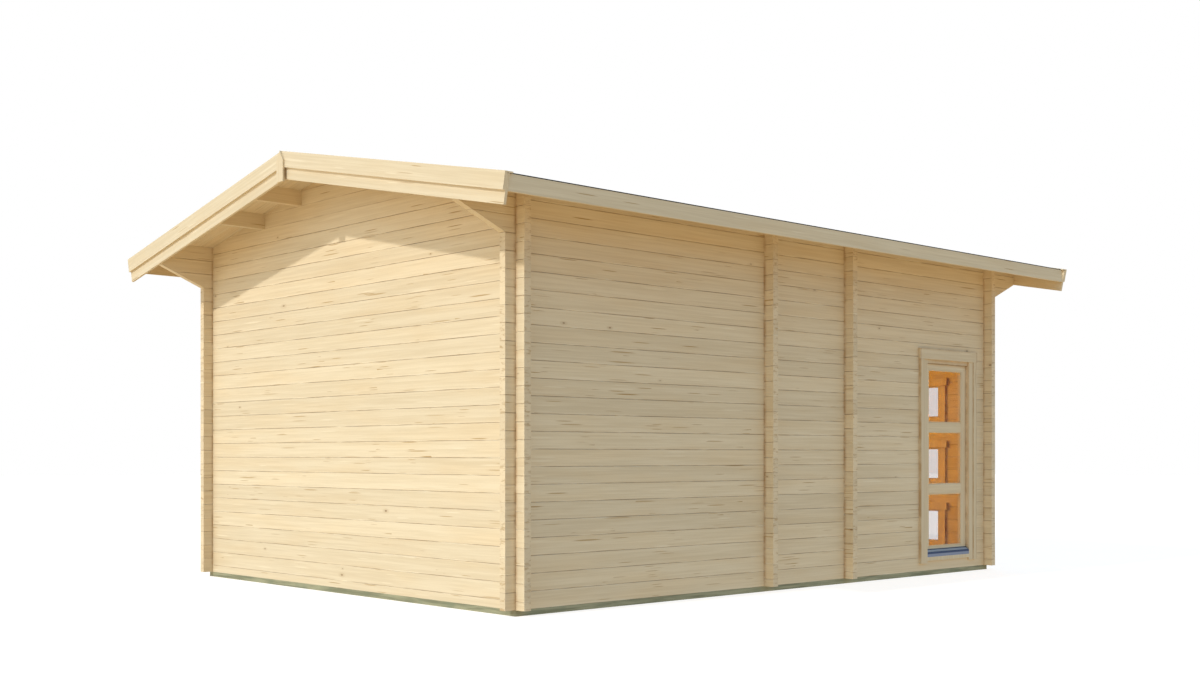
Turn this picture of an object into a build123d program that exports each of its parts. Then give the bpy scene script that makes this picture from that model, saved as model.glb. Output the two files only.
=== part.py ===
from build123d import *
import math
import os

os.makedirs("parts", exist_ok=True)

# Driving sizes in millimetres: X across the cabin, Y from the rear gable to the front gable, Z up
log_height = 120.0
log_thick = 58.0
wall_width = 4240.0
wall_length = 5700.0
rear_room = 2542.0
hall_length = 1028.0
log_end_length = 90.0
side_courses = 24
gable_courses = 23
roof_pitch = 11.5
eave_out = 511.0
gable_out = 522.0
foundation_height = 42.0
foundation_width = 95.0

# Seams and clearances
seam = 0.4
fit = 0.2
log_chamfer = 4.0
overrun = 50.0

# Floor
floor_thick = 27.0
floor_gap = 2.0
joist_width = 45.0
joist_rows = 5

# Roof
board_thick = 16.0
felt_thick = 3.0
lath_thick = 10.0
lath_width = 46.0
barge_thick = 20.0
upper_barge = 118.0
lower_barge = 88.0
barge_past = 24.0
fascia_height = 110.0
apex_plate_width = 90.0
apex_plate_height = 235.0
apex_plate_point = 75.0
apex_plate_thick = 16.0
bracket_courses = 3

# Tall window near the front corner of each side wall
tall_pier_width = 257.0
tall_width = 750.0
tall_sill_courses = 1
tall_courses = 15
tall_border = 35.0
tall_head_gap = 20.0
tall_side_gap = 5.0
sash_stile = 70.0
sash_rail = 52.0
sash_depth = 36.0
sash_gap = 2.0
glass_thick = 18.0
tall_casing = 114.0
tall_header = 95.0
tall_horn = 10.0
tall_foot = 55.0
tall_bottom_board = 34.0
casing_thick = 16.0
header_extra = 10.0
rain_rail_height = 68.0
rain_rail_steps = 3

# Three small windows, one above the other, beside each front corner
small_place = 600.0
small_width = 360.0
small_courses = 3
small_first_course = 1
small_pitch = 600.0
small_rows = 3
small_border = 30.0
small_head_gap = 12.0
small_side_gap = 2.0
small_casing = 61.0
small_lap = 20.0
small_header = 70.0
small_horn = 22.0

# Entrance door and the doorways of the inner walls
door_width = 900.0
door_courses = 16
doorway_width = 800.0
door_border = 45.0
door_stop = 15.0
door_head_gap = 20.0
door_side_gap = 5.0
door_casing = 95.0
leaf_thick = 40.0
leaf_gap = 3.0
plate_width = 40.0
plate_height = 200.0
plate_thick = 6.0
lever_length = 120.0
lever_thick = 18.0
lever_out = 45.0
lever_height_share = 0.5
handle_inset = 60.0

# Places worked out from the driving sizes
half_log = log_thick / 2
half_course = log_height / 2
side_line = wall_width / 2
gable_line = wall_length / 2
inner_face = side_line - half_log
outer_face = side_line + half_log
gable_inner = gable_line - half_log
gable_face = gable_line + half_log
side_log_tip = gable_face + log_end_length
gable_log_tip = outer_face + log_end_length
rear_partition = rear_room - gable_line
front_partition = rear_partition + hall_length
cross_lines = [-gable_line, rear_partition, front_partition, gable_line]
base = foundation_height
wall_top = base + side_courses * log_height
rise = math.tan(math.radians(roof_pitch))
slope_cos = math.cos(math.radians(roof_pitch))
slope_sin = math.sin(math.radians(roof_pitch))
eave_face = outer_face + eave_out
eave_back = eave_face - barge_thick
barge_face = gable_face + gable_out
barge_back = barge_face - barge_thick
lower_back = barge_back - barge_thick
roof_top = board_thick + felt_thick + lath_thick
tall_middle = gable_line - tall_pier_width - tall_width / 2
small_pitch_courses = round(small_pitch / log_height)


def soffit(x, lift=0.0):
    """Height of the roof's underside at x, or of the plane that lies lift above it."""
    return wall_top + rise * (inner_face - abs(x)) + lift / slope_cos


def block(x0, x1, y0, y1, z0, z1):
    """Box between two corners."""
    return Pos((x0 + x1) / 2, (y0 + y1) / 2, (z0 + z1) / 2) * Box(x1 - x0, y1 - y0, z1 - z0)


def prism_y(points, y0, y1):
    """Outline of (x, z) points carried from y0 to y1."""
    outline = Wire.make_polygon([Vector(x, y0, z) for x, z in points], close=True)
    return Solid.extrude(Face(outline), Vector(0, y1 - y0, 0))


def prism_x(points, x0, x1):
    """Outline of (y, z) points carried from x0 to x1."""
    outline = Wire.make_polygon([Vector(x0, y, z) for y, z in points], close=True)
    return Solid.extrude(Face(outline), Vector(x1 - x0, 0, 0))


def cut(solid, tools):
    """Solids left after the tools are taken away."""
    if not tools:
        return list(solid.solids())
    return list(solid.cut(*tools).solids())


def ring(outer, inner, depth, axis):
    """Frame between two rectangles (a0, a1, z0, z1), through depth (d0, d1), across X or Y."""
    def slab(rectangle, extra):
        a0, a1, z0, z1 = rectangle
        d0, d1 = depth[0] - extra, depth[1] + extra
        if axis == "x":
            return block(d0, d1, a0, a1, z0, z1)
        return block(a0, a1, d0, d1, z0, z1)
    return cut(slab(outer, 0.0), [slab(inner, overrun)])


def log_outline(height, chamfered):
    """Section of a log as (across, up) points, with its upper edges taken off."""
    edge = log_chamfer if chamfered else 0.0
    points = [(-half_log, seam), (half_log, seam), (half_log, height - edge)]
    if chamfered:
        points += [(half_log - edge, height), (edge - half_log, height)]
    return points + [(-half_log, height - edge)]


def log_along_x(y, x0, x1, z, height=log_height):
    """Log of a gable wall or an inner wall."""
    return prism_x([(y + across, z + up) for across, up in log_outline(height, True)], x0, x1)


def log_along_y(x, y0, y1, z, chamfered=True):
    """Log of a side wall."""
    return prism_y([(x + across, z + up) for across, up in log_outline(log_height, chamfered)], y0, y1)


def spans(start, end, openings):
    """Stretches of a log that are left between openings, given as (from, to) pairs."""
    left = []
    for low, high in sorted(openings):
        left.append((start, low))
        start = high
    return left + [(start, end)]


def gable_seam(course):
    """Height of the underside of a gable log: these lie half a course above the side logs."""
    return base + half_course + course * log_height


# Space above the roof's underside, taken from the logs that reach it
roof_void = prism_y(
    [
        (-eave_face, soffit(eave_face)),
        (0, soffit(0)),
        (eave_face, soffit(eave_face)),
        (eave_face, soffit(0) + overrun),
        (-eave_face, soffit(0) + overrun),
    ],
    -barge_face,
    barge_face,
)

# Purlins are logs whose upper edges meet the roof: one at the ridge, two on each slope
ridge_course = gable_courses + 3
purlin_courses = [gable_courses + 1, gable_courses + 2]


def purlin_place(course):
    """Distance from the ridge line at which the roof's underside meets the top of a course."""
    return inner_face - (gable_seam(course + 1) - wall_top) / rise


def bottom_notch(x, y, z):
    """Housing under a log, half a course deep, that sits over the log it crosses."""
    reach = half_log + fit
    return block(x - reach, x + reach, y - reach, y + reach, z - overrun, z + half_course)


def cross_wall(y, openings):
    """Lower logs of a wall that runs across the cabin, with its ends past the side walls.

    openings lists (x from, x to, first course, courses).
    """
    solids = [log_along_x(y, -gable_log_tip, gable_log_tip, base - seam, half_course + seam)]
    for course in range(gable_courses):
        z = gable_seam(course)
        gaps = [(x0, x1) for x0, x1, first, count in openings if first <= course < first + count]
        for x0, x1 in spans(-gable_log_tip, gable_log_tip, gaps):
            seats = [side for side in (-side_line, side_line) if x0 < side < x1]
            notches = [bottom_notch(side, y, z) for side in seats]
            solids += cut(log_along_x(y, x0, x1, z), notches)
    return solids


def purlin_housing(place, course, y):
    """Space that a gable wall leaves for a purlin."""
    reach = half_log + fit
    z = gable_seam(course)
    return block(place - reach, place + reach, y - log_thick, y + log_thick, z, z + 2 * log_height)


def gable_logs(y):
    """Logs of the gable triangle, cut to the roof and housed round the purlins."""
    housings = [purlin_housing(0, ridge_course, y)]
    for course in purlin_courses:
        place = purlin_place(course)
        housings += [purlin_housing(-place, course, y), purlin_housing(place, course, y)]
    edge = inner_face - fit
    solids = []
    for course in range(gable_courses, ridge_course + 1):
        z = gable_seam(course)
        piece = block(-edge, edge, y - half_log, y + half_log, z + seam, z + log_height)
        solids += cut(piece, [roof_void, *housings])
    return solids


# Raked underside of the logs that carry the roof past the gable walls
bracket_low = wall_top - bracket_courses * log_height
bracket_high = soffit(outer_face, roof_top - upper_barge - lower_barge)
bracket_void = [
    (side_log_tip, bracket_low - overrun),
    (side_log_tip, bracket_low),
    (lower_back, bracket_high),
    (lower_back + overrun, bracket_high),
    (lower_back + overrun, bracket_low - overrun),
]


def side_wall(x):
    """Logs of a side wall, housed over every cross wall and parted by the tall window."""
    window_gap = (tall_middle - tall_width / 2, tall_middle + tall_width / 2)
    rakes = [
        prism_x([(direction * y, z) for y, z in bracket_void], x - log_thick, x + log_thick)
        for direction in (-1, 1)
    ]
    solids = []
    for course in range(side_courses):
        z = base + course * log_height
        in_bracket = course >= side_courses - bracket_courses
        tip = lower_back if in_bracket else side_log_tip
        beside = tall_sill_courses <= course < tall_sill_courses + tall_courses
        for y0, y1 in spans(-tip, tip, [window_gap] if beside else []):
            tools = [bottom_notch(x, y, z) for y in cross_lines if y0 < y < y1]
            if in_bracket:
                tools += rakes
            top_log = course == side_courses - 1
            if top_log:
                tools.append(roof_void)
            solids += cut(log_along_y(x, y0, y1, z, not top_log), tools)
    return solids


def foundation_beams():
    """Treated beams under every wall."""
    inside = outer_face - foundation_width
    solids = [
        block(-outer_face, -inside, -gable_face, gable_face, 0, base),
        block(inside, outer_face, -gable_face, gable_face, 0, base),
    ]
    end_inside = gable_face - foundation_width
    half_beam = foundation_width / 2
    rows = [(-gable_face, -end_inside), (end_inside, gable_face)]
    rows += [(line - half_beam, line + half_beam) for line in (rear_partition, front_partition)]
    for y0, y1 in rows:
        solids.append(block(seam - inside, inside - seam, y0, y1, 0, base))
    return solids


def rooms():
    """Ends of the three rooms along Y, from wall face to wall face."""
    pairs = zip(cross_lines, cross_lines[1:])
    return [(back + half_log, front - half_log) for back, front in pairs]


def floor_joists():
    """Joists between the beams, under the floor boards."""
    lip = (foundation_width - log_thick) / 2
    end_lip = foundation_width - log_thick
    spacing = 2 * (outer_face - foundation_width) / (joist_rows + 1)
    solids = []
    for number, (y0, y1) in enumerate(rooms()):
        back = y0 + (end_lip if number == 0 else lip) + floor_gap
        front = y1 - (end_lip if number == len(rooms()) - 1 else lip) - floor_gap
        for row in range(joist_rows):
            x = (row - (joist_rows - 1) / 2) * spacing
            solids.append(block(x - joist_width / 2, x + joist_width / 2, back, front, 0, base))
    return solids


def floor_boards():
    """One boarded floor in each room."""
    edge = inner_face - floor_gap
    return [
        block(-edge, edge, y0 + floor_gap, y1 - floor_gap, base, base + floor_thick)
        for y0, y1 in rooms()
    ]


def purlin(place, course):
    """Purlin log from bargeboard to bargeboard with its top cut to the roof."""
    z = gable_seam(course)
    outline = [(place - half_log, z), (place + half_log, z), (place + half_log, soffit(place + half_log))]
    if place == 0:
        outline.append((0, soffit(0)))
    outline.append((place - half_log, soffit(place - half_log)))
    return prism_y(outline, -lower_back, lower_back)


def mirrored(points, side):
    """Outline moved to the left slope where side is -1."""
    return [(side * x, z) for x, z in points]


def roof_boards(side):
    """Boarded slope from the ridge to the fascia."""
    outline = [
        (0, soffit(0)),
        (eave_back, soffit(eave_back)),
        (eave_back, soffit(eave_back, board_thick)),
        (0, soffit(0, board_thick)),
    ]
    return [prism_y(mirrored(outline, side), -barge_back, barge_back)]


def roof_felt():
    """Felt over both slopes, out to the face of the fascias."""
    top = board_thick + felt_thick
    outline = [
        (-eave_face, soffit(eave_face, board_thick)),
        (0, soffit(0, board_thick)),
        (eave_face, soffit(eave_face, board_thick)),
        (eave_face, soffit(eave_face, top)),
        (0, soffit(0, top)),
        (-eave_face, soffit(eave_face, top)),
    ]
    return [prism_y(outline, -barge_back, barge_back)]


def square_end(below):
    """Point on the square-cut end of a bargeboard, at a distance below its upper edge."""
    tip = eave_face + barge_past
    return (tip - below * slope_sin, soffit(tip, roof_top) - below * slope_cos)


def edge_laths():
    """Laths that hold the felt down along both gable edges."""
    outline = [
        (seam, soffit(seam, board_thick + felt_thick)),
        (seam, soffit(seam, roof_top)),
        square_end(0),
        square_end(lath_thick),
    ]
    solids = []
    for side in (-1, 1):
        for y0, y1 in ((-barge_back, lath_width - barge_back), (barge_back - lath_width, barge_back)):
            solids.append(prism_y(mirrored(outline, side), y0, y1))
    return solids


def upper_bargeboards(end):
    """Wide outer boards of one gable, square cut at the eaves."""
    outline = [
        (seam, soffit(seam, roof_top)),
        square_end(0),
        square_end(upper_barge),
        (seam, soffit(seam, roof_top - upper_barge)),
    ]
    return [prism_y(mirrored(outline, side), end * barge_back, end * barge_face) for side in (-1, 1)]


def lower_bargeboards(end):
    """Narrower boards set back under the roof boards, cut in line with the upper ones."""
    depth = upper_barge + lower_barge
    outline = [
        (seam, soffit(seam)),
        (eave_back, soffit(eave_back)),
        (eave_back, soffit(eave_back, board_thick)),
        square_end(lath_thick + felt_thick),
        square_end(depth),
        (seam, soffit(seam, roof_top - depth)),
    ]
    return [prism_y(mirrored(outline, side), end * lower_back, end * barge_back) for side in (-1, 1)]


def apex_plate(end):
    """Cover over the joint of the bargeboards at the ridge, with a pointed top."""
    half = apex_plate_width / 2
    top = soffit(0, roof_top)
    outline = [
        (-half, top - apex_plate_height),
        (half, top - apex_plate_height),
        (half, top - apex_plate_point),
        (0, top),
        (-half, top - apex_plate_point),
    ]
    return [prism_y(outline, end * barge_face, end * (barge_face + apex_plate_thick))]


def eave_fascia(side):
    """Board along the ends of the roof boards."""
    bottom = soffit(eave_face, board_thick) - fascia_height
    outline = [
        (eave_back, bottom),
        (eave_face, bottom),
        (eave_face, soffit(eave_face, board_thick)),
        (eave_back, soffit(eave_back, board_thick)),
    ]
    return [prism_y(mirrored(outline, side), -lower_back, lower_back)]


# Tall side windows
tall_bottom = base + tall_sill_courses * log_height
tall_top = tall_bottom + tall_courses * log_height - tall_head_gap
tall_half = tall_width / 2 - tall_side_gap


def tall_rectangle(inset_y, inset_z):
    """Rectangle of a tall window, brought in from the frame's outer edge."""
    half = tall_half - inset_y
    return (tall_middle - half, tall_middle + half, tall_bottom + inset_z, tall_top - inset_z)


def side_depth(side, near, far):
    """Range of X between two distances from the middle of a side wall, outwards positive."""
    places = (side * (side_line + near), side * (side_line + far))
    return (min(places), max(places))


def tall_frame(side):
    return ring(
        tall_rectangle(0, 0),
        tall_rectangle(tall_border, tall_border),
        side_depth(side, -half_log, half_log),
        "x",
    )


def tall_sash(side):
    inset = tall_border + sash_gap
    return ring(
        tall_rectangle(inset, inset),
        tall_rectangle(inset + sash_stile, inset + sash_rail),
        side_depth(side, -half_log, sash_depth - half_log),
        "x",
    )


def tall_glass(side):
    inset = tall_border + sash_gap
    y0, y1, z0, z1 = tall_rectangle(inset + sash_stile, inset + sash_rail)
    back = (sash_depth - glass_thick) / 2 - half_log
    x0, x1 = side_depth(side, back, back + glass_thick)
    return [block(x0, x1, y0, y1, z0, z1)]


def tall_casing_boards(side, outward):
    """Legs, header with horns and bottom board on one face of a side wall."""
    y0, y1, z0, z1 = tall_rectangle(tall_border, 0)
    near, far = outward * half_log, outward * (half_log + casing_thick)
    header_far = outward * (half_log + casing_thick + header_extra)
    x0, x1 = side_depth(side, near, far)
    hx0, hx1 = side_depth(side, near, header_far)
    foot = tall_bottom - tall_foot
    header = tall_top + tall_header
    legs = [
        block(x0, x1, y0 - tall_casing, y0, foot, tall_top),
        block(x0, x1, y1, y1 + tall_casing, foot, tall_top),
    ]
    top = block(hx0, hx1, y0 - tall_casing - tall_horn, y1 + tall_casing + tall_horn, tall_top, header)
    bottom = block(x0, x1, y0, y1, tall_bottom - tall_bottom_board, tall_bottom)
    return list(legs[0].fuse(legs[1], top, bottom).solids())


def rain_rail(side):
    """Stepped metal rail over the foot of a tall window, between the casing legs."""
    y0, y1, _, _ = tall_rectangle(tall_border, 0)
    sash_face = sash_depth - half_log
    sill_top = tall_bottom + tall_border
    front = half_log + casing_thick
    step_out = (front - sash_face) / (rain_rail_steps + 1)
    step_up = (rain_rail_height - tall_border) / (rain_rail_steps + 1)
    outline = [(sash_face, sill_top), (half_log, sill_top), (half_log, tall_bottom), (front, tall_bottom)]
    for step in range(rain_rail_steps + 1):
        x = front - step * step_out
        z = sill_top + (step + 1) * step_up
        outline += [(x, z), (x - step_out, z)]
    placed = [(side * (side_line + x), z) for x, z in outline]
    return [prism_y(placed, y0, y1)]


# Small front windows
small_half = small_width / 2 - small_side_gap


def small_places():
    """Middle X and underside of every small front window."""
    for side in (-1, 1):
        for row in range(small_rows):
            course = small_first_course + row * small_pitch_courses
            yield side * (side_line - small_place), gable_seam(course)


def small_rectangle(middle, bottom, inset):
    top = bottom + small_courses * log_height - small_head_gap
    return (middle - small_half + inset, middle + small_half - inset, bottom + inset, top - inset)


def small_frames():
    depth = (gable_inner, gable_face)
    solids = []
    for middle, bottom in small_places():
        outer = small_rectangle(middle, bottom, 0)
        solids += ring(outer, small_rectangle(middle, bottom, small_border), depth, "y")
    return solids


def small_glass():
    solids = []
    for middle, bottom in small_places():
        x0, x1, z0, z1 = small_rectangle(middle, bottom, small_border)
        solids.append(block(x0, x1, gable_line - glass_thick / 2, gable_line + glass_thick / 2, z0, z1))
    return solids


def small_casings(outward):
    """Casing of every small window on one face of the front wall, each with a horned header."""
    face = gable_line + outward * half_log
    y0, y1 = sorted((face, face + outward * casing_thick))
    hy0, hy1 = sorted((face, face + outward * (casing_thick + header_extra)))
    solids = []
    for middle, bottom in small_places():
        x0, x1, z0, z1 = small_rectangle(middle, bottom, small_lap)
        legs = [
            block(x0 - small_casing, x0, y0, y1, z0 - small_casing, z1),
            block(x1, x1 + small_casing, y0, y1, z0 - small_casing, z1),
        ]
        reach = small_casing + small_horn
        header = block(x0 - reach, x1 + reach, hy0, hy1, z1, z1 + small_header)
        sill = block(x0, x1, y0, y1, z0 - small_casing, z0)
        solids += list(legs[0].fuse(legs[1], header, sill).solids())
    return solids


# Entrance door in the middle of the front wall
door_bottom = gable_seam(0)
door_top = door_bottom + door_courses * log_height - door_head_gap
door_half = door_width / 2 - door_side_gap


def door_rectangle(inset):
    return (inset - door_half, door_half - inset, door_bottom + inset, door_top - inset)


def door_frame():
    """Door frame with a stop round its inner edge that the leaf closes against."""
    leaf_back = gable_face - leaf_thick
    frame = ring(door_rectangle(0), door_rectangle(door_border), (gable_inner, gable_face), "y")
    stop = ring(
        door_rectangle(door_border), door_rectangle(door_border + door_stop), (gable_inner, leaf_back), "y"
    )
    return list(frame[0].fuse(*stop).solids())


def door_leaf():
    x0, x1, z0, z1 = door_rectangle(door_border + leaf_gap)
    return [block(x0, x1, gable_face - leaf_thick, gable_face, z0, z1)]


def door_casing_boards(outward):
    face = gable_line + outward * half_log
    y0, y1 = sorted((face, face + outward * casing_thick))
    hy0, hy1 = sorted((face, face + outward * (casing_thick + header_extra)))
    x0, x1, _, _ = door_rectangle(door_border)
    legs = [
        block(x0 - door_casing, x0, y0, y1, door_bottom, door_top),
        block(x1, x1 + door_casing, y0, y1, door_bottom, door_top),
    ]
    reach = door_casing + tall_horn
    header = block(x0 - reach, x1 + reach, hy0, hy1, door_top, door_top + door_casing)
    return list(legs[0].fuse(legs[1], header).solids())


def door_handle():
    """Plate and lever on the outer face of the leaf."""
    x = door_rectangle(door_border + leaf_gap)[1] - handle_inset
    middle = door_bottom + (door_top - door_bottom) * lever_height_share
    half_plate = plate_width / 2
    half_lever = lever_thick / 2
    y = gable_face + plate_thick
    low, high = middle - plate_height / 2, middle + plate_height / 2
    plate = block(x - half_plate, x + half_plate, gable_face, y, low, high)
    neck = block(x - half_lever, x + half_lever, y, y + lever_out, middle - half_lever, middle + half_lever)
    lever = block(
        x - lever_length,
        x + half_lever,
        y + lever_out - lever_thick,
        y + lever_out,
        middle - half_lever,
        middle + half_lever,
    )
    return list(plate.fuse(neck, lever).solids())


front_openings = [(-door_width / 2, door_width / 2, 0, door_courses)]
for window_middle in (small_place - side_line, side_line - small_place):
    for row in range(small_rows):
        first = small_first_course + row * small_pitch_courses
        sides = (window_middle - small_width / 2, window_middle + small_width / 2)
        front_openings.append((*sides, first, small_courses))
doorway = [(-doorway_width / 2, doorway_width / 2, 0, door_courses)]

nodes = {
    "foundation_beams": foundation_beams(),
    "floor_joists": floor_joists(),
    "floor_boards": floor_boards(),
    "rear_wall_logs": cross_wall(-gable_line, []),
    "rear_gable_logs": gable_logs(-gable_line),
    "front_wall_logs": cross_wall(gable_line, front_openings),
    "front_gable_logs": gable_logs(gable_line),
    "rear_partition_logs": cross_wall(rear_partition, doorway),
    "rear_partition_gable_logs": gable_logs(rear_partition),
    "front_partition_logs": cross_wall(front_partition, doorway),
    "front_partition_gable_logs": gable_logs(front_partition),
    "left_wall_logs": side_wall(-side_line),
    "right_wall_logs": side_wall(side_line),
    "ridge_purlin": [purlin(0, ridge_course)],
    "left_purlins": [purlin(-purlin_place(course), course) for course in purlin_courses],
    "right_purlins": [purlin(purlin_place(course), course) for course in purlin_courses],
    "left_roof_boards": roof_boards(-1),
    "right_roof_boards": roof_boards(1),
    "roof_felt": roof_felt(),
    "roof_edge_laths": edge_laths(),
    "rear_upper_bargeboards": upper_bargeboards(-1),
    "rear_lower_bargeboards": lower_bargeboards(-1),
    "front_upper_bargeboards": upper_bargeboards(1),
    "front_lower_bargeboards": lower_bargeboards(1),
    "rear_apex_plate": apex_plate(-1),
    "front_apex_plate": apex_plate(1),
    "left_eave_fascia": eave_fascia(-1),
    "right_eave_fascia": eave_fascia(1),
    "side_window_frames": tall_frame(-1) + tall_frame(1),
    "side_window_sashes": tall_sash(-1) + tall_sash(1),
    "side_window_glass": tall_glass(-1) + tall_glass(1),
    "side_window_outer_casings": tall_casing_boards(-1, 1) + tall_casing_boards(1, 1),
    "side_window_inner_casings": tall_casing_boards(-1, -1) + tall_casing_boards(1, -1),
    "side_window_rain_rails": rain_rail(-1) + rain_rail(1),
    "front_window_frames": small_frames(),
    "front_window_glass": small_glass(),
    "front_window_outer_casings": small_casings(1),
    "front_window_inner_casings": small_casings(-1),
    "door_frame": door_frame(),
    "door_leaf": door_leaf(),
    "door_outer_casing": door_casing_boards(1),
    "door_inner_casing": door_casing_boards(-1),
    "door_handle": door_handle(),
}

for name, solids in nodes.items():
    shape = solids[0] if len(solids) == 1 else Compound(solids)
    export_step(shape, f"parts/{name}.step")
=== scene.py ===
import math

import bmesh
import bpy
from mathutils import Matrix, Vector


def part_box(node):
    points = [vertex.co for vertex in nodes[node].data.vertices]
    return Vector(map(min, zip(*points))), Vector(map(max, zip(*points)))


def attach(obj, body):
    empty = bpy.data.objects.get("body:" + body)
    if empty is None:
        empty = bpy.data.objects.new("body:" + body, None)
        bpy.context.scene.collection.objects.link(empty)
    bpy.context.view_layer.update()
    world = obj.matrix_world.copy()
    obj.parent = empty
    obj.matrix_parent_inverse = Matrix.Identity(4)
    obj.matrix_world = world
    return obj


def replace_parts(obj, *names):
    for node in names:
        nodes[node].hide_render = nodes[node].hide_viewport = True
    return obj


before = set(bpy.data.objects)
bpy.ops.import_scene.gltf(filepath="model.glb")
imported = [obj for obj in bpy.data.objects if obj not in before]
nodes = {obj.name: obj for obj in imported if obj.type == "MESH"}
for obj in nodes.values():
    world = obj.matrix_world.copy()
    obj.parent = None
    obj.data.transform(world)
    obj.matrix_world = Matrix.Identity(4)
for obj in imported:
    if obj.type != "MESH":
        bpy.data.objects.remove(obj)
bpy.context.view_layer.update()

# Sizes in metres that the looks share with the solids
COURSE = 0.12
BASE = 0.042
SIDE_SEAM = BASE
GABLE_SEAM = BASE + COURSE / 2
ROOF_PITCH = math.radians(11.5)
GLASS_THICK = 0.018
ROOF_BOARD = 0.0966
FLOOR_BOARD = 0.112

# Wood colours, linear
PALE_WOOD = (0.78, 0.652, 0.453)
DEEP_WOOD = (0.70, 0.570, 0.378)
KNOT_BROWN = (0.20, 0.10, 0.04)
DASH_BROWN = (0.40, 0.235, 0.075)
FLECK_PALE = (0.90, 0.79, 0.59)
SEAM_BROWN = (0.30, 0.165, 0.06)
# Painted light along the joints, lifting the shade of their chamfers
SEAM_PAINTED_LIGHT = (0.97, 0.86, 0.64)
# Painted shade in inner corners, creases and recesses
CREASE_SHADE = (0.40, 0.21, 0.07)

# Distances from a joint, in metres, where its painted light and its dark line end and where they are full
SEAM_LIGHT_REACH = (0.0060, 0.0020)
SEAM_BROWN_REACH = (0.0036, 0.0010)
# Radians a metre of the growth rings, which makes them about 4 mm wide, and how much they wander
RING_RATE = 1500.0
RING_WOBBLE = 6.0
# How much darker the painted shade is in a crease that is kept to spans of height
SPAN_SHADE = 1.5


class Graph:
    """Material with short calls for its nodes."""

    def __init__(self, name):
        self.material = bpy.data.materials.new(name)
        self.material.use_nodes = True
        self.tree = self.material.node_tree
        self.tree.nodes.clear()
        self.shader = self.node("BsdfPrincipled")
        output = self.node("OutputMaterial")
        self.tree.links.new(self.shader.outputs[0], output.inputs["Surface"])
        place = self.node("TexCoord").outputs["Object"]
        split = self.node("SeparateXYZ", {0: place})
        self.place = place
        self.axis = {letter: split.outputs[i] for i, letter in enumerate("xyz")}

    def put(self, socket, value):
        if isinstance(value, bpy.types.NodeSocket):
            self.tree.links.new(value, socket)
        elif isinstance(value, tuple) and len(value) == 3 and socket.type == "RGBA":
            socket.default_value = (*value, 1.0)
        else:
            socket.default_value = value

    def node(self, kind, inputs=None, **settings):
        made = self.tree.nodes.new("ShaderNode" + kind)
        for key, value in settings.items():
            setattr(made, key, value)
        for key, value in (inputs or {}).items():
            self.put(made.inputs[key], value)
        return made

    def math(self, operation, *values):
        return self.node("Math", dict(enumerate(values)), operation=operation).outputs[0]

    def vector(self, x, y, z):
        return self.node("CombineXYZ", {0: x, 1: y, 2: z}).outputs[0]

    def scaled(self, vector, factors):
        made = self.node("VectorMath", {0: vector}, operation="MULTIPLY")
        made.inputs[1].default_value = factors
        return made.outputs[0]

    def noise(self, vector, detail=3.0, roughness=0.5, scale=1.0):
        inputs = {"Vector": vector, "Scale": scale, "Detail": detail, "Roughness": roughness}
        return self.node("TexNoise", inputs).outputs[0]

    def between(self, value, start, end, low=0.0, high=1.0):
        """Smooth step of value from start to end, given as low to high."""
        inputs = {0: value, 1: start, 2: end, 3: low, 4: high}
        return self.node("MapRange", inputs, interpolation_type="SMOOTHSTEP").outputs[0]

    def inside(self, value, low, high):
        """1 where value is between low and high, and 0 elsewhere."""
        above, below = self.math("GREATER_THAN", value, low), self.math("LESS_THAN", value, high)
        return self.math("MULTIPLY", above, below)

    def mix(self, factor, a, b, blend="MIX"):
        made = self.node("Mix", data_type="RGBA", blend_type=blend)
        self.put(made.inputs[0], factor)
        self.put(made.inputs[6], a)
        self.put(made.inputs[7], b)
        return made.outputs[2]

    def finish(self, color=None, roughness=None, bump=None, strength=0.2, distance=0.002):
        if color is not None:
            self.put(self.shader.inputs["Base Color"], color)
        if roughness is not None:
            self.put(self.shader.inputs["Roughness"], roughness)
        if bump is not None:
            made = self.node("Bump", {"Height": bump, "Strength": strength, "Distance": distance})
            self.put(self.shader.inputs["Normal"], made.outputs[0])
        return self.material


def marks(graph, place, factors, size, share):
    """Mask of scattered oval marks: a share of the cells holds one, of about that size in cell units."""
    inputs = {"Vector": graph.scaled(place, factors), "Scale": 1.0}
    cells = graph.node("TexVoronoi", inputs, voronoi_dimensions="2D")
    chance = graph.node("SeparateColor", {0: cells.outputs["Color"]})
    radius = graph.math("MULTIPLY_ADD", chance.outputs[1], size, size * 0.6)
    near = graph.math("DIVIDE", cells.outputs["Distance"], radius)
    oval = graph.between(near, 1.0, 0.45)
    held = graph.math("LESS_THAN", chance.outputs[0], share)
    strength = graph.math("MULTIPLY_ADD", chance.outputs[2], 0.7, 0.3)
    return graph.math("MULTIPLY", graph.math("MULTIPLY", oval, held), strength)


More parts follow.
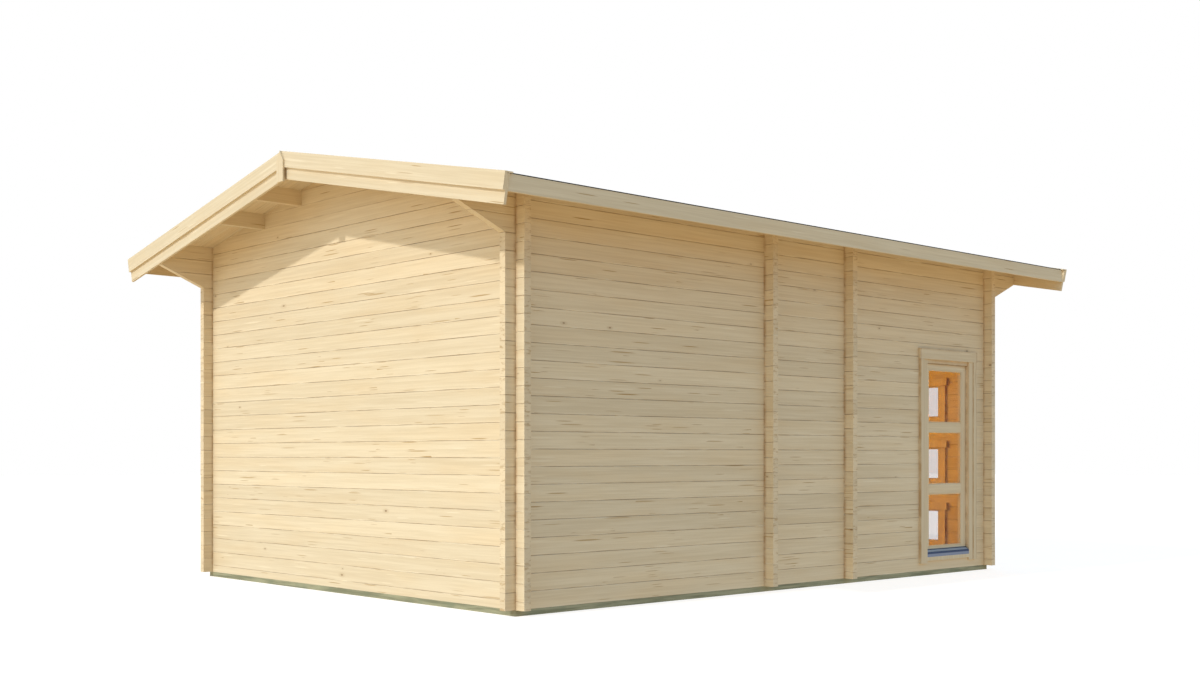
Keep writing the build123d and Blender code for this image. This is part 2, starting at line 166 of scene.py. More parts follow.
def wood(name, grain, seams=None, rails=(), rail_grain="y", tint=1.0, knots=1.0, joint=1.0, creases=()):
    """Planed softwood with its grain along one axis, or down the roof's slope.

    seams is (axis, pitch, offset) of the joints between logs or boards, and joint says how dark they are.
    Between the heights in rails the grain runs along rail_grain instead. creases lists (axis, place, reach)
    of the inner corners, edges and recesses that get painted shade, and after them the spans of height that
    one is kept to.
    """
    graph = Graph(name)
    x, y, z = (graph.axis[letter] for letter in "xyz")
    if grain == "slope":
        out = graph.math("ABSOLUTE", x)
        sine, cosine = math.sin(ROOF_PITCH), math.cos(ROOF_PITCH)
        along = graph.math("MULTIPLY_ADD", z, -sine, graph.math("MULTIPLY", out, cosine))
        cross, up = y, graph.math("MULTIPLY_ADD", z, cosine, graph.math("MULTIPLY", out, sine))
    else:
        along = graph.axis[grain]
        cross, up = {"x": (y, z), "y": (x, z), "z": (x, y)}[grain]
    for low, high in rails:
        inside = graph.inside(z, low, high)
        turned = graph.axis[rail_grain]
        along, up = (
            graph.math("MULTIPLY_ADD", inside, graph.math("SUBTRACT", turned, along), along),
            graph.math("MULTIPLY_ADD", inside, graph.math("SUBTRACT", z, up), up),
        )

    # Each log or board has a tone and a place in the grain of its own
    piece = graph.math("FLOOR", graph.math("MULTIPLY_ADD", cross, 2.0, 0.5))
    course = 0.0
    if seams:
        axis, pitch, offset = seams
        steps = graph.math("DIVIDE", graph.math("SUBTRACT", graph.axis[axis], offset), pitch)
        course = graph.math("FLOOR", steps)
    own = graph.node("TexWhiteNoise", {"Vector": graph.vector(piece, course, 0.0)}, noise_dimensions="3D")
    own = graph.node("SeparateColor", {0: own.outputs["Color"]}).outputs
    shift = graph.math("MULTIPLY_ADD", own[0], 23.0, along)
    place = graph.vector(shift, cross, up)

    broad = graph.noise(graph.scaled(place, (0.7, 18.0, 18.0)), 3.0, 0.6)
    streak = graph.noise(graph.scaled(place, (1.3, 62.0, 62.0)), 3.0, 0.6)
    fine = graph.noise(graph.scaled(place, (3.0, 190.0, 190.0)), 2.0, 0.6)
    lines = graph.math("MULTIPLY_ADD", fine, 0.25, graph.math("MULTIPLY", streak, 0.45))
    lines = graph.math("MULTIPLY_ADD", broad, 0.30, lines)
    color = graph.mix(graph.between(lines, 0.38, 0.62), DEEP_WOOD, PALE_WOOD)
    patches = graph.noise(graph.scaled(place, (1.1, 6.0, 6.0)), 2.0)
    warm = graph.mix(graph.between(patches, 0.42, 0.75, 0.0, 0.4), (1.0, 1.0, 1.0), (1.0, 0.92, 0.80))
    color = graph.mix(1.0, color, warm, "MULTIPLY")
    tone = graph.math("MULTIPLY_ADD", own[1], 0.08, tint - 0.04)
    color = graph.mix(1.0, color, graph.vector(tone, tone, tone), "MULTIPLY")

    # Knots, resin dashes and pale flecks
    flat = graph.vector(shift, graph.math("ADD", up, graph.math("MULTIPLY", cross, 3.1)), 0.0)
    crowd = graph.between(graph.noise(graph.scaled(flat, (0.9, 4.0, 0.0)), 2.0), 0.46, 0.66, 0.12, 1.0)
    knot = marks(graph, flat, (2.4, 5.6, 0.0), 0.036, 0.07 * knots)
    halo = marks(graph, flat, (2.4, 5.6, 0.0), 0.10, 0.07 * knots)
    dash = marks(graph, flat, (1.1, 27.0, 0.0), 0.12, graph.math("MULTIPLY", crowd, 0.45 * knots))
    tick = marks(graph, flat, (1.9, 52.0, 0.0), 0.15, graph.math("MULTIPLY", crowd, 0.34 * knots))
    pale = marks(graph, flat, (1.6, 31.0, 0.0), 0.20, 0.12)
    color = graph.mix(graph.math("MULTIPLY", pale, 0.45), color, FLECK_PALE)
    color = graph.mix(graph.math("MULTIPLY", halo, 0.25), color, DASH_BROWN)
    color = graph.mix(graph.math("MULTIPLY", dash, 0.85), color, DASH_BROWN)
    color = graph.mix(graph.math("MULTIPLY", tick, 0.85), color, DASH_BROWN)
    color = graph.mix(graph.math("MULTIPLY", knot, 0.9), color, KNOT_BROWN)

    # Growth rings on the ends
    if grain in "xy":
        normal = graph.node("SeparateXYZ", {0: graph.node("NewGeometry").outputs["Normal"]})
        end = graph.between(graph.math("ABSOLUTE", normal.outputs["xyz".index(grain)]), 0.75, 0.95)
        pith = graph.math("PINGPONG", graph.math("ADD", up, own[2]), COURSE * 0.7)
        length = graph.node("VectorMath", {0: graph.vector(cross, pith, 0.0)}, operation="LENGTH")
        wobble = graph.math("MULTIPLY", graph.noise(graph.place, 2.0, 0.5, 30.0), RING_WOBBLE)
        rings = graph.math("SINE", graph.math("MULTIPLY_ADD", length.outputs["Value"], RING_RATE, wobble))
        ring_color = graph.mix(graph.between(rings, -0.6, 0.9), (0.82, 0.68, 0.47), (0.68, 0.53, 0.33))
        weather = graph.between(own[0], 0.0, 1.0, 0.90, 1.06)
        ring_color = graph.mix(1.0, ring_color, graph.vector(weather, weather, weather), "MULTIPLY")
        blotch = graph.noise(graph.scaled(graph.place, (14.0, 14.0, 55.0)), 3.0, 0.6)
        ring_color = graph.mix(graph.between(blotch, 0.50, 0.72, 0.0, 0.75), ring_color, DASH_BROWN)
        color = graph.mix(graph.math("MULTIPLY", end, 0.75), color, ring_color)

    # Joints between logs or boards: painted light along part of each joint that lifts the shade of its
    # chamfer, and dark where they gape
    if seams:
        turn = graph.math("PINGPONG", graph.math("FRACT", steps), 0.5)
        varied = graph.noise(graph.vector(graph.math("MULTIPLY", shift, 1.7), course, 0.0), 3.0, 0.6)
        away = graph.math("MULTIPLY", turn, pitch)
        lifted = graph.between(varied, 0.52, 0.36, 0.0, 0.75 * joint)
        lifted = graph.math("MULTIPLY", graph.between(away, *SEAM_LIGHT_REACH), lifted)
        color = graph.mix(lifted, color, SEAM_PAINTED_LIGHT)
        opened = graph.between(varied, 0.38, 0.64, 0.0, 0.70 * joint)
        opened = graph.math("MULTIPLY", graph.between(away, *SEAM_BROWN_REACH), opened)
        color = graph.mix(opened, color, SEAM_BROWN)

    # Painted shade in inner corners, creases and recesses, patchy along its length and stronger where kept to
    # spans of height
    for axis, spot, reach, *spans in creases:
        away = graph.math("ABSOLUTE", graph.math("SUBTRACT", graph.axis[axis], spot))
        darkening = graph.between(graph.noise(graph.place, 3.0, 0.6, 7.0), 0.35, 0.65, 0.15, 0.60)
        darkening = graph.math("MULTIPLY", graph.between(away, reach, 0.001), darkening)
        if spans:
            held = 0.0
            for low, high in spans:
                held = graph.math("ADD", held, graph.inside(z, low, high))
            darkening = graph.math("MULTIPLY", graph.math("MULTIPLY", darkening, held), SPAN_SHADE)
        color = graph.mix(darkening, color, CREASE_SHADE)

    height = graph.math("SUBTRACT", fine, graph.math("MULTIPLY", knot, 0.4))
    roughness = graph.between(lines, 0.3, 0.7, 0.74, 0.60)
    graph.put(graph.shader.inputs["Specular IOR Level"], 0.28)
    return graph.finish(color, roughness, height, 0.12, 0.002)


def treated_wood():
    """Pressure-treated beams, greenish grey."""
    graph = Graph("treated_wood")
    streak = graph.noise(graph.scaled(graph.place, (3.0, 3.0, 60.0)), 4.0, 0.6)
    darkening = graph.noise(graph.place, 3.0, 0.5, 5.0)
    color = graph.mix(graph.between(streak, 0.35, 0.65), (0.20, 0.20, 0.115), (0.34, 0.33, 0.20))
    color = graph.mix(graph.between(darkening, 0.5, 0.75, 0.0, 0.5), color, (0.17, 0.20, 0.12))
    return graph.finish(color, graph.between(streak, 0.3, 0.7, 0.85, 0.65), streak, 0.3, 0.003)


def roofing_felt():
    """Grit-faced bitumen felt."""
    graph = Graph("roofing_felt")
    grit = graph.noise(graph.place, 2.0, 0.7, 520.0)
    patch = graph.noise(graph.place, 4.0, 0.6, 2.3)
    color = graph.mix(graph.between(grit, 0.40, 0.66), (0.012, 0.012, 0.013), (0.055, 0.056, 0.058))
    shade = graph.mix(graph.between(patch, 0.35, 0.7), (0.8, 0.8, 0.8), (1.15, 1.13, 1.1))
    color = graph.mix(1.0, color, shade, "MULTIPLY")
    graph.put(graph.shader.inputs["Specular IOR Level"], 0.12)
    return graph.finish(color, graph.between(grit, 0.3, 0.7, 0.95, 0.75), grit, 0.5, 0.0015)


def window_glass(name, body, film, clear, dusty):
    """Glazing that holds back a share of the light, from clear to dusty."""
    graph = Graph(name)
    dust = graph.noise(graph.scaled(graph.place, (3.0, 3.0, 1.2)), 4.0, 0.6)
    graph.put(graph.shader.inputs["Alpha"], graph.between(dust, 0.3, 0.8, clear, dusty))
    graph.put(graph.shader.inputs["IOR"], 1.5)
    color = graph.mix(graph.between(dust, 0.3, 0.8), body, film)
    return graph.finish(color, graph.between(dust, 0.3, 0.8, 0.02, 0.06))


def brushed_metal(name, dark, light, along, roughness):
    """Metal with fine lines along one axis."""
    graph = Graph(name)
    factors = tuple(4.0 if letter == along else 900.0 for letter in "xyz")
    line = graph.noise(graph.scaled(graph.place, factors), 2.0)
    cloud = graph.noise(graph.place, 3.0, 0.5, 14.0)
    color = graph.mix(graph.between(line, 0.3, 0.7), dark, light)
    color = graph.mix(graph.between(cloud, 0.4, 0.8, 0.0, 0.3), color, dark)
    graph.put(graph.shader.inputs["Metallic"], 1.0)
    rough = graph.between(line, 0.3, 0.7, roughness - 0.08, roughness + 0.08)
    return graph.finish(color, rough, line, 0.08, 0.001)


# Heights over the rain rail's foot, in metres, between which its bands of painted light and shade change
CHANNEL_START = (0.024, 0.028)
CHANNEL_END = (0.043, 0.047)
LIP_START = (0.059, 0.062)


def rail_metal(foot):
    """Anodised blue-grey rail with bands of painted light and shade by height: a dark channel between two
    lighter ridges, and a dark lip, over a foot at that height.
    """
    graph = Graph("rain_rail_metal")
    line = graph.noise(graph.scaled(graph.place, (900.0, 5.0, 900.0)), 2.0)
    rise = graph.math("SUBTRACT", graph.axis["z"], foot)
    low = graph.mix(graph.between(line, 0.3, 0.7), (0.16, 0.19, 0.28), (0.22, 0.25, 0.33))
    high = graph.mix(graph.between(line, 0.3, 0.7), (0.26, 0.30, 0.34), (0.34, 0.37, 0.41))
    # Painted shade in the channel and on the lip, painted light on the ridges
    color = graph.mix(graph.between(rise, *CHANNEL_START), low, (0.012, 0.035, 0.10))
    color = graph.mix(graph.between(rise, *CHANNEL_END), color, high)
    color = graph.mix(graph.between(rise, *LIP_START), color, (0.03, 0.04, 0.07))
    graph.put(graph.shader.inputs["Metallic"], 0.4)
    return graph.finish(color, graph.between(line, 0.3, 0.7, 0.30, 0.45), line, 0.06, 0.001)


def pale_floor():
    """Studio floor: near white with a faint mottle."""
    graph = Graph("studio_floor")
    mottle = graph.noise(graph.place, 3.0, 0.5, 0.8)
    color = graph.mix(graph.between(mottle, 0.3, 0.7), (0.44, 0.37, 0.31), (0.47, 0.40, 0.33))
    graph.put(graph.shader.inputs["Emission Color"], (1.0, 1.0, 1.0))
    graph.put(graph.shader.inputs["Emission Strength"], 0.76)
    return graph.finish(color, graph.between(mottle, 0.3, 0.7, 0.75, 0.9))


# Places of the windows and the door, read from the solids
_, tall_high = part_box("side_window_frames")
sash_low, sash_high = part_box("side_window_sashes")
pane_low, pane_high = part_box("side_window_glass")
casing_low, casing_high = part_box("side_window_outer_casings")
_, door_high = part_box("door_frame")
leaf_low, leaf_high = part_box("door_leaf")
rail_low, rail_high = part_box("side_window_rain_rails")
front_pane_low, front_pane_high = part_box("front_window_glass")

# Sizes of the windows and the door in metres
TALL_BORDER = 0.035
LEG_WIDTH = 0.114
STRIP_OUT = 0.009
STRIP_FACE = 0.050
FRONT_ROWS = 3
FRONT_PANE = 0.296
FRONT_PANE_HEIGHT = 0.288
FRONT_PITCH = 5 * COURSE
SMALL_HORN = 0.022
SMALL_HEADER = 0.070
DOOR_BORDER = 0.045
DOOR_BOARD = 0.0992
PLATE_HALF = 0.020
PLATE_IN = 0.060
PLATE_X = leaf_high.x - PLATE_IN
front_bottoms = [front_pane_low.z + row * FRONT_PITCH for row in range(FRONT_ROWS)]
# Height that no piece reaches
FAR = 99.0

# How far the painted shade reaches from an inner corner, edge or recess, in metres
CREASE_REACH = 0.026
LEG_REACH = 0.014
HEADER_REACH = 0.012
REVEAL_REACH = 0.040
HEAD_REACH = 0.006
STRIP_REACH = 0.005
SMALL_WALL_REACH = 0.030
SMALL_EDGE_REACH = 0.003
SMALL_HEAD_REACH = 0.010

# Inner corners of the log walls and of the tall windows' casings and reveals, which get painted shade
_, wall_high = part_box("right_wall_logs")
gable_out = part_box("foundation_beams")[1].y
across_creases = [("x", side * wall_high.x, CREASE_REACH) for side in (-1, 1)]
along_creases = [("y", side * gable_out, CREASE_REACH) for side in (-1, 1)]
for inner_wall in ("rear_partition_logs", "front_partition_logs"):
    along_creases += [("y", corner.y, CREASE_REACH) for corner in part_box(inner_wall)]
legs_rear, legs_front = rail_low.y - LEG_WIDTH, rail_high.y + LEG_WIDTH
leg_edges = [("y", legs_rear, LEG_REACH), ("y", legs_front, LEG_REACH)]
header_edge = [("z", casing_high.z, HEADER_REACH)]
reveal_creases = [("x", side * sash_high.x, REVEAL_REACH) for side in (-1, 1)]
frame_creases = reveal_creases + [("z", tall_high.z - TALL_BORDER, HEAD_REACH)]
casing_creases = leg_edges + header_edge + reveal_creases
strip_creases = leg_edges + [("y", legs_rear + STRIP_FACE, STRIP_REACH)]
strip_creases += [("y", legs_front - STRIP_FACE, STRIP_REACH)]

# Edges of the small windows' casings, with painted shade on both sides of the front wall
small_low, small_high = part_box("front_window_inner_casings")
small_leg = small_high.z - (FRONT_ROWS - 1) * FRONT_PITCH - SMALL_HEADER - small_low.z
leg_feet = [small_low.z + row * FRONT_PITCH for row in range(FRONT_ROWS)]
leg_spans = [(foot, foot + small_leg) for foot in leg_feet]
header_spans = [(high, high + SMALL_HEADER) for _, high in leg_spans]
small_edges = []
for side in (-1, 1):
    outer = side * (small_high.x - SMALL_HORN)
    small_edges += [("x", outer, *leg_spans), ("x", side * small_high.x, *header_spans)]
small_wall_creases = [(axis, spot, SMALL_WALL_REACH, *spans) for axis, spot, *spans in small_edges]
small_creases = [(axis, spot, SMALL_EDGE_REACH, *spans) for axis, spot, *spans in small_edges]
small_creases += [("z", low, SMALL_HEAD_REACH) for low, _ in header_spans]
front_creases = across_creases + small_wall_creases

# Materials
sash_rails = [(sash_low.z, pane_low.z), (pane_high.z, sash_high.z)]
frame_rails = [(tall_high.z - TALL_BORDER, tall_high.z)]
casing_rails = [(tall_high.z, FAR)]
door_rails = [(door_high.z - DOOR_BORDER, FAR)]
across_logs = wood("log_wood_across", "x", ("z", COURSE, GABLE_SEAM), creases=across_creases)
along_logs = wood("log_wood_along", "y", ("z", COURSE, SIDE_SEAM), creases=along_creases)
purlin_wood = wood("purlin_wood", "y")
barge_wood = wood("barge_wood", "slope", knots=0.6)
fascia_wood = wood("fascia_wood", "y", knots=0.6)
plate_wood = wood("plate_wood", "z", knots=0.2)
soffit_wood = wood("roof_board_wood", "slope", ("y", ROOF_BOARD, 0.0), knots=0.8, joint=0.3)
floor_wood = wood("floor_wood", "x", ("y", FLOOR_BOARD, 0.0), knots=0.8, joint=0.3)
tall_frame_wood = wood("tall_frame_wood", "z", knots=0.2, rails=frame_rails, creases=frame_creases)
tall_sash_wood = wood("tall_sash_wood", "z", knots=0.15, rails=sash_rails)
tall_casing_wood = wood(
    "tall_casing_wood", "z", knots=0.3, tint=0.95, rails=casing_rails, creases=casing_creases)
bar_wood = wood("bar_wood", "y", knots=0.15)
strip_wood = wood("strip_wood", "z", knots=0.2, tint=0.95, creases=strip_creases)
small_wood = wood("front_window_wood", "z", knots=0.2, creases=small_creases)
front_logs = wood("log_wood_front", "x", ("z", COURSE, GABLE_SEAM), creases=front_creases)
door_frame_wood = wood("door_frame_wood", "z", knots=0.3, rail_grain="x", rails=door_rails)
door_wood = wood("door_wood", "z", ("x", DOOR_BOARD, DOOR_BOARD / 2), knots=0.5)
beam_wood = treated_wood()
felt = roofing_felt()
glass = window_glass("clear_glass", (0.80, 0.86, 0.86), (0.90, 0.93, 0.92), 0.02, 0.05)
toned_glass = window_glass("toned_glass", (0.38, 0.21, 0.03), (0.46, 0.26, 0.05), 0.22, 0.25)
anodised = rail_metal(rail_low.z)
handle_metal = brushed_metal("handle_metal", (0.36, 0.36, 0.37), (0.62, 0.62, 0.63), "x", 0.30)

node_materials = {
    "foundation_beams": beam_wood,
    "floor_joists": beam_wood,
    "floor_boards": floor_wood,
    "front_wall_logs": front_logs,
    "left_wall_logs": along_logs,
    "right_wall_logs": along_logs,
    "ridge_purlin": purlin_wood,
    "left_purlins": purlin_wood,
    "right_purlins": purlin_wood,
    "left_roof_boards": soffit_wood,
    "right_roof_boards": soffit_wood,
    "roof_felt": felt,
    "roof_edge_laths": barge_wood,
    "rear_apex_plate": plate_wood,
    "front_apex_plate": plate_wood,
    "left_eave_fascia": fascia_wood,
    "right_eave_fascia": fascia_wood,
    "side_window_frames": tall_frame_wood,
    "side_window_sashes": tall_sash_wood,
    "side_window_glass": glass,
    "side_window_outer_casings": tall_casing_wood,
    "side_window_inner_casings": tall_casing_wood,
    "side_window_rain_rails": anodised,
    "front_window_frames": small_wood,
    "front_window_glass": toned_glass,
    "front_window_outer_casings": small_wood,
    "front_window_inner_casings": small_wood,
    "door_frame": door_frame_wood,
    "door_leaf": door_wood,
    "door_outer_casing": door_frame_wood,
    "door_inner_casing": door_frame_wood,
    "door_handle": handle_metal,
}
for name, node in nodes.items():
    material = node_materials.get(name)
    if material is None:
        material = barge_wood if "bargeboards" in name else across_logs
    node.data.materials.clear()
    node.data.materials.append(material)


def piece(name, mesh_builder, material, slot, bevel=0.0015):
    """New piece on the cabin's one body, with softened edges."""
    mesh = bpy.data.meshes.new(name)
    build = bmesh.new()
    mesh_builder(build)
    bmesh.ops.recalc_face_normals(build, faces=build.faces)
    build.to_mesh(mesh)
    build.free()
    mesh.materials.append(material)
    made = bpy.data.objects.new(name, mesh)
    bpy.context.scene.collection.objects.link(made)
    if bevel:
        rounded = made.modifiers.new("edges", "BEVEL")
        rounded.width = bevel
        rounded.segments = 2
    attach(made, "root")
    return made


def add_box(build, low, high):
    """Box between two opposite corners."""
    corners = bmesh.ops.create_cube(build, size=1.0)["verts"]
    for corner in corners:
        corner.co = Vector([a + (c + 0.5) * (b - a) for c, a, b in zip(corner.co, low, high)])


def add_prism(build, outline, y0, y1):
    """Outline of (x, z) points carried along Y."""
    ends = [[build.verts.new((x, y, z)) for x, z in outline] for y in (y0, y1)]
    build.faces.new(ends[0])
    build.faces.new(ends[1])
    count = len(outline)
    for i in range(count):
        build.faces.new([ends[0][i], ends[0][(i + 1) % count], ends[1][(i + 1) % count], ends[1][i]])


# Roof boards and floor boards laid one by one, with a shallow V where two meet
VEE = 0.003
BOARD_GAP = 0.0002
ROOF_BOARD_THICK = 0.016
FLOOR_CLEAR = 0.002
CUT_SHARE = 0.001


def board_edges(start, end, width):
    """Edges of the boards between two places, on a grid through zero, with the end boards cut to fit."""
    first, last = math.ceil(start / width + CUT_SHARE), math.floor(end / width - CUT_SHARE)
    edges = [start] + [number * width for number in range(first, last + 1)] + [end]
    return [(a + BOARD_GAP, b - BOARD_GAP) for a, b in zip(edges, edges[1:]) if b - a > 2 * VEE]


def add_board(build, y0, y1, ends, thick, vee_up):
    """Board between two ends, each a function from a height in the board to a place (x, z)."""
    section = [(y0 + VEE, 0.0), (y1 - VEE, 0.0), (y1, VEE), (y1, thick), (y0, thick), (y0, VEE)]
    if vee_up:
        section = [(y, thick - up) for y, up in reversed(section)]
    loops = []
    for end in ends:
        spots = [(end(up), y) for y, up in section]
        loops.append([build.verts.new((x, y, z)) for (x, z), y in spots])
    build.faces.new(loops[0])
    build.faces.new(loops[1])
    for i in range(len(section)):
        after = (i + 1) % len(section)
        build.faces.new([loops[0][i], loops[0][after], loops[1][after], loops[1][i]])


def roof_boards(side):
    """Builder of one slope's boards, which run from the ridge to the eave."""
    low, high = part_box("right_roof_boards" if side > 0 else "left_roof_boards")
    reach = max(abs(low.x), abs(high.x))
    plumb = 1.0 / math.cos(ROOF_PITCH)
    eave_z, ridge_z = low.z, high.z - ROOF_BOARD_THICK * plumb

    def build_boards(build):
        ends = (lambda up: (0.0, ridge_z + up * plumb), lambda up: (side * reach, eave_z + up * plumb))
        for y0, y1 in board_edges(low.y, high.y, ROOF_BOARD):
            add_board(build, y0, y1, ends, ROOF_BOARD_THICK, False)

    return build_boards


def floor_boards(build):
    """Boards across each of the three rooms, clear of the inner walls."""
    low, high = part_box("floor_boards")
    walls = ["rear_partition_logs", "front_partition_logs"]
    stops = [low.y] + [corner.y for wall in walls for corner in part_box(wall)] + [high.y]
    clear = [0.0] + [FLOOR_CLEAR] * (len(stops) - 2) + [0.0]
    ends = (lambda up: (low.x, low.z + up), lambda up: (high.x, low.z + up))
    for room in range(0, len(stops), 2):
        start, end = stops[room] + clear[room], stops[room + 1] - clear[room + 1]
        for y0, y1 in board_edges(start, end, FLOOR_BOARD):
            add_board(build, y0, y1, ends, high.z - low.z, True)


for side, name in ((-1, "left_roof_boards"), (1, "right_roof_boards")):
    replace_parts(piece("laid_" + name, roof_boards(side), soffit_wood, "roof_board_wood", bevel=0.0), name)
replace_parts(piece("laid_floor_boards", floor_boards, floor_wood, "floor_wood", bevel=0.0), "floor_boards")

# Bars of the tall windows: two on each, before and behind the glass
BAR_HEIGHT = 0.082
LIGHTS = 3
SASH_DEPTH = 0.036
light_height = (pane_high.z - pane_low.z - (LIGHTS - 1) * BAR_HEIGHT) / LIGHTS
light_bottoms = [pane_low.z + number * (light_height + BAR_HEIGHT) for number in range(LIGHTS)]


def window_bars(build):
    """Bars that divide each tall window into its lights."""
    for side in (-1, 1):
        faces = [(sash_high.x, pane_high.x), (pane_high.x - GLASS_THICK, sash_high.x - SASH_DEPTH)]
        for bottom in light_bottoms[1:]:
            for outer, inner in faces:
                x0, x1 = sorted((side * outer, side * inner))
                add_box(build, (x0, pane_low.y, bottom - BAR_HEIGHT), (x1, pane_high.y, bottom))


piece("side_window_bars", window_bars, bar_wood, "trim_wood", bevel=0.002)


def casing_strips(build):
    """Raised strip along the outer edge of each leg of the tall windows' casings."""
    leg_face = rail_high.x
    for side in (-1, 1):
        x0, x1 = sorted((side * leg_face, side * (leg_face + STRIP_OUT)))
        for y0, y1 in ((legs_rear, legs_rear + STRIP_FACE), (legs_front - STRIP_FACE, legs_front)):
            add_box(build, (x0, y0, casing_low.z), (x1, y1, tall_high.z))


piece("side_window_casing_strips", casing_strips, strip_wood, "trim_wood", bevel=0.002)

# Beads that hold the panes, and the stiles and rails of the small windows
BEAD = 0.010
BEAD_BACK = 0.003
FRONT_STILE = 0.026
FRONT_RAIL = 0.004


def bead_ring(build, axis, depth, low, high, stile=BEAD, rail=BEAD):
    """Four strips round a pane, between two depths, given by (across, up) corners."""
    (a0, z0), (a1, z1) = low, high
    strips = [
        (a0, a1, z0, z0 + rail),
        (a0, a1, z1 - rail, z1),
        (a0, a0 + stile, z0 + rail, z1 - rail),
        (a1 - stile, a1, z0 + rail, z1 - rail),
    ]
    d0, d1 = sorted(depth)
    for across0, across1, up0, up1 in strips:
        if axis == "x":
            add_box(build, (d0, across0, up0), (d1, across1, up1))
        else:
            add_box(build, (across0, d0, up0), (across1, d1, up1))


def side_beads(build):
    """Beads on the outer face of the tall windows' panes."""
    for side in (-1, 1):
        depth = (side * pane_high.x, side * (sash_high.x - BEAD_BACK))
        for z in light_bottoms:
            bead_ring(build, "x", depth, (pane_low.y, z), (pane_high.y, z + light_height))


def front_beads(build):
    """Stiles, rails and beads on both faces of the small windows' panes."""
    for middle in (front_pane_high.x - FRONT_PANE / 2, front_pane_low.x + FRONT_PANE / 2):
        for bottom in front_bottoms:
            low = (middle - FRONT_PANE / 2, bottom)
            high = (middle + FRONT_PANE / 2, bottom + FRONT_PANE_HEIGHT)
            for face, out in ((front_pane_high.y, BEAD), (front_pane_low.y, -BEAD)):
                bead_ring(build, "y", (face, face + out), low, high, FRONT_STILE, FRONT_RAIL)


piece("side_window_beads", side_beads, bar_wood, "trim_wood", bevel=0.003)
piece("front_window_beads", front_beads, small_wood, "trim_wood", bevel=0.003)

# Boards on the outer face of the door, cut round the handle's plate, and its hinges
DOOR_BOARDS = 8
BOARD_OUT = 0.008
HINGE_SHARES = (0.12, 0.5, 0.88)
KNUCKLES = 3
KNUCKLE_RADIUS = 0.008
KNUCKLE_LENGTH = 0.034
KNUCKLE_PITCH = 0.035
KNUCKLE_IN = 0.007
FLAP_START = 0.004
FLAP_END = 0.055
FLAP_HALF = 0.05
FLAP_THICK = 0.002
plate_low, plate_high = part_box("door_handle")


def door_boards(build):
    """Upright boards of the door, the ones behind the plate in pieces round it."""
    width = (leaf_high.x - leaf_low.x) / DOOR_BOARDS
    y0, y1 = leaf_high.y, leaf_high.y + BOARD_OUT
    for number in range(DOOR_BOARDS):
        x0 = leaf_low.x + number * width
        x1 = x0 + width
        under_plate = x0 < PLATE_X + PLATE_HALF and x1 > PLATE_X - PLATE_HALF
        if not under_plate:
            add_box(build, (x0, y0, leaf_low.z), (x1, y1, leaf_high.z))
            continue
        left, right = max(x0, PLATE_X - PLATE_HALF), min(x1, PLATE_X + PLATE_HALF)
        add_box(build, (x0, y0, leaf_low.z), (x1, y1, plate_low.z))
        add_box(build, (x0, y0, plate_high.z), (x1, y1, leaf_high.z))
        for edge0, edge1 in ((x0, left), (right, x1)):
            if edge1 - edge0 > BOARD_OUT:
                add_box(build, (edge0, y0, plate_low.z), (edge1, y1, plate_high.z))


def door_hinges(build):
    """Three hinges, each with its knuckles and a flap on the boards."""
    x, y = leaf_low.x, leaf_high.y + BOARD_OUT
    for share in HINGE_SHARES:
        z = leaf_low.z + share * (leaf_high.z - leaf_low.z)
        for knuckle in range(KNUCKLES):
            turned = bmesh.ops.create_cone(
                build, cap_ends=True, segments=20,
                radius1=KNUCKLE_RADIUS, radius2=KNUCKLE_RADIUS, depth=KNUCKLE_LENGTH)["verts"]
            for corner in turned:
                corner.co += Vector((x + KNUCKLE_IN, y, z + (knuckle - 1) * KNUCKLE_PITCH))
        add_box(build, (x + FLAP_START, y, z - FLAP_HALF), (x + FLAP_END, y + FLAP_THICK, z + FLAP_HALF))


piece("door_boards", door_boards, door_wood, "trim_wood", bevel=0.003)
piece("door_hinges", door_hinges, handle_metal, "handle_metal", bevel=0.0008)

# Felt strips that lap down the slope, and a cap over the ridge
felt_low, felt_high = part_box("roof_felt")
STRIP_WIDTH = 1.0
STRIP_LAP = 0.08
STRIP_THICK = 0.002
STARTER = 0.15
CAP_HALF = 0.25
LAST_STRIP_SHARE = 0.4
LATH_WIDTH = 0.046
slope_length = felt_high.x / math.cos(ROOF_PITCH)
felt_top = felt_high.z


def on_slope(distance, lift, side):
    """Point of the felt's upper face at a distance down the slope from the ridge, lifted off it."""
    x = distance * math.cos(ROOF_PITCH)
    return (side * x, felt_top - distance * math.sin(ROOF_PITCH) + lift)


def felt_strips(build):
    """Starter, lapped strips and ridge cap between the edge laths."""
    y0, y1 = felt_low.y + LATH_WIDTH, felt_high.y - LATH_WIDTH
    last = CAP_HALF * LAST_STRIP_SHARE
    for side in (-1, 1):
        lower = slope_length
        starter = [(lower, 0.0), (lower, STRIP_THICK), (lower - STARTER, STRIP_THICK), (lower - STARTER, 0.0)]
        add_prism(build, [on_slope(distance, lift, side) for distance, lift in starter], y0, y1)
        while lower > CAP_HALF:
            upper = max(lower - STRIP_WIDTH, last)
            outline = [
                on_slope(lower, STRIP_THICK, side),
                on_slope(lower, 2 * STRIP_THICK, side),
                on_slope(upper, STRIP_THICK, side),
                on_slope(upper, 0.0, side),
            ]
            add_prism(build, outline, y0, y1)
            lower = upper + STRIP_LAP
            if upper <= last:
                break
    cap = [on_slope(CAP_HALF, lift, side) for side, lift in ((-1, STRIP_THICK), (-1, 2 * STRIP_THICK))]
    cap += [(0.0, felt_top + 2 * STRIP_THICK)]
    cap += [on_slope(CAP_HALF, lift, 1) for lift in (2 * STRIP_THICK, STRIP_THICK)]
    cap += [(0.0, felt_top + STRIP_THICK)]
    add_prism(build, cap, y0, y1)


piece("roof_felt_strips", felt_strips, felt, "roof_felt", bevel=0.0)

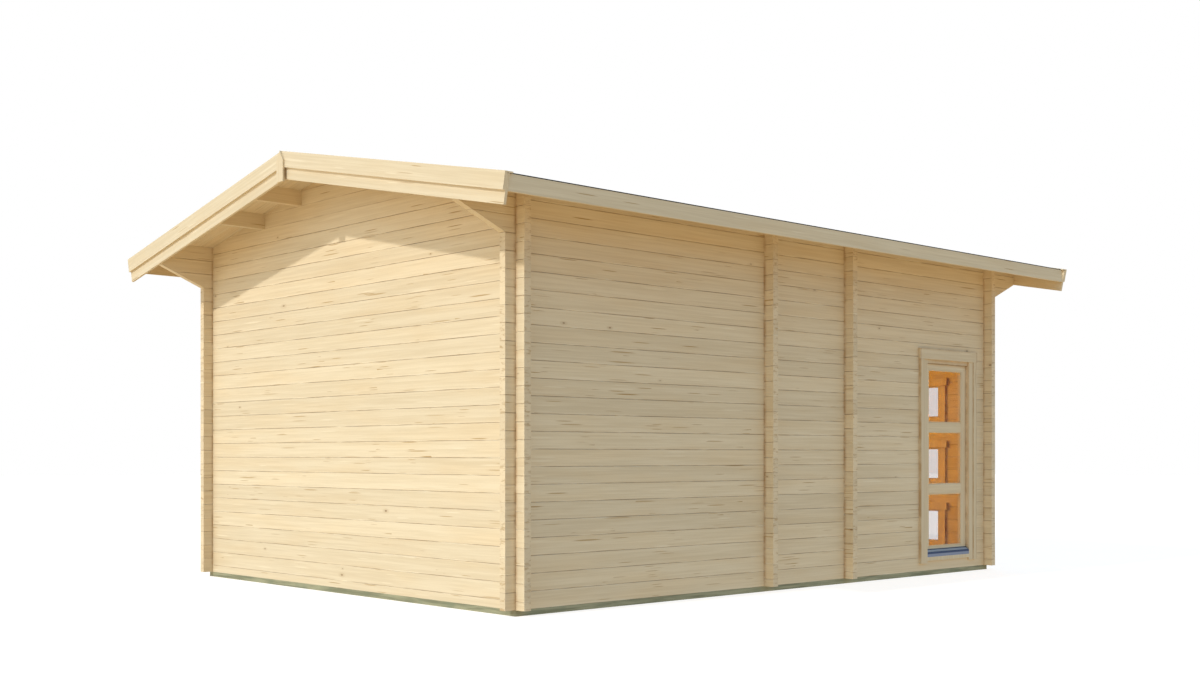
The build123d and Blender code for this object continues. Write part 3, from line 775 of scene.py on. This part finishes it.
# Studio floor
FLOOR_HALF = 60.0
floor_mesh = bpy.data.meshes.new("studio_floor")
floor_corners = [(x * FLOOR_HALF, y * FLOOR_HALF, 0) for x, y in ((-1, -1), (1, -1), (1, 1), (-1, 1))]
floor_mesh.from_pydata(floor_corners, [], [(0, 1, 2, 3)])
floor_mesh.materials.append(pale_floor())
floor = bpy.data.objects.new("studio_floor", floor_mesh)
bpy.context.scene.collection.objects.link(floor)
floor.visible_diffuse = False

# Cool sky above the horizon and warm ground below it, behind a white backdrop
world = bpy.data.worlds.new("studio")
world.use_nodes = True
sky = world.node_tree
direction = sky.nodes.new("ShaderNodeTexCoord")
heights = sky.nodes.new("ShaderNodeSeparateXYZ")
upward = sky.nodes.new("ShaderNodeMapRange")
light = sky.nodes.new("ShaderNodeMix")
seen = sky.nodes.new("ShaderNodeLightPath")
backdrop = sky.nodes.new("ShaderNodeMix")
for socket, value in zip(upward.inputs[1:5], (-0.05, 0.05, 0.0, 1.0)):
    socket.default_value = value
for mixer in (light, backdrop):
    mixer.data_type = "RGBA"
light.inputs[6].default_value = (0.70, 0.56, 0.34, 1.0)
light.inputs[7].default_value = (0.46, 0.63, 0.83, 1.0)
backdrop.inputs[7].default_value = (1.0, 1.0, 1.0, 1.0)
sky.links.new(direction.outputs["Generated"], heights.inputs[0])
sky.links.new(heights.outputs[2], upward.inputs[0])
sky.links.new(upward.outputs[0], light.inputs[0])
sky.links.new(light.outputs[2], backdrop.inputs[6])
sky.links.new(seen.outputs["Is Camera Ray"], backdrop.inputs[0])
sky.links.new(backdrop.outputs[2], sky.nodes["Background"].inputs["Color"])
sky.nodes["Background"].inputs["Strength"].default_value = 1.0
bpy.context.scene.world = world


def add_sun(name, energy, degrees, color, direction):
    """Sun of an apparent width in degrees, shining in a direction."""
    data = bpy.data.lights.new(name, "SUN")
    data.energy = energy
    data.angle = math.radians(degrees)
    data.color = color
    made = bpy.data.objects.new(name, data)
    made.rotation_mode = "QUATERNION"
    made.rotation_quaternion = Vector(direction).to_track_quat("-Z", "Y")
    bpy.context.scene.collection.objects.link(made)


# Sharp sun on the rear gable, and a broad soft fill from its side
add_sun("sun", 1.67, 2.0, (1.0, 0.985, 0.945), (0.017, 0.5, -0.374))
add_sun("fill", 0.85, 80.0, (1.0, 0.92, 0.72), (0.3, 1.0, 0.05))

# Warm lamp in the front room
lamp_data = bpy.data.lights.new("lamp", "POINT")
lamp_data.energy = 76.0
lamp_data.color = (1.0, 0.57, 0.05)
lamp_data.shadow_soft_size = 0.05
lamp = bpy.data.objects.new("lamp", lamp_data)
lamp.location = (-0.6, 1.1, 1.45)
lamp.visible_camera = False
bpy.context.scene.collection.objects.link(lamp)

# Camera fitted to the photo: level, turned 47 degrees from the ridge line, with the picture shifted up
camera_data = bpy.data.cameras.new("camera")
camera_data.sensor_width = 36.0
camera_data.lens = 42.075
camera_data.shift_y = 0.0978
camera = bpy.data.objects.new("camera", camera_data)
camera.location = (9.4076, -8.8318, 1.0813)
camera.rotation_euler = (math.radians(90.0), 0.0, math.radians(47.204))
bpy.context.scene.collection.objects.link(camera)
bpy.context.scene.camera = camera
bpy.context.scene.view_settings.view_transform = "Standard"
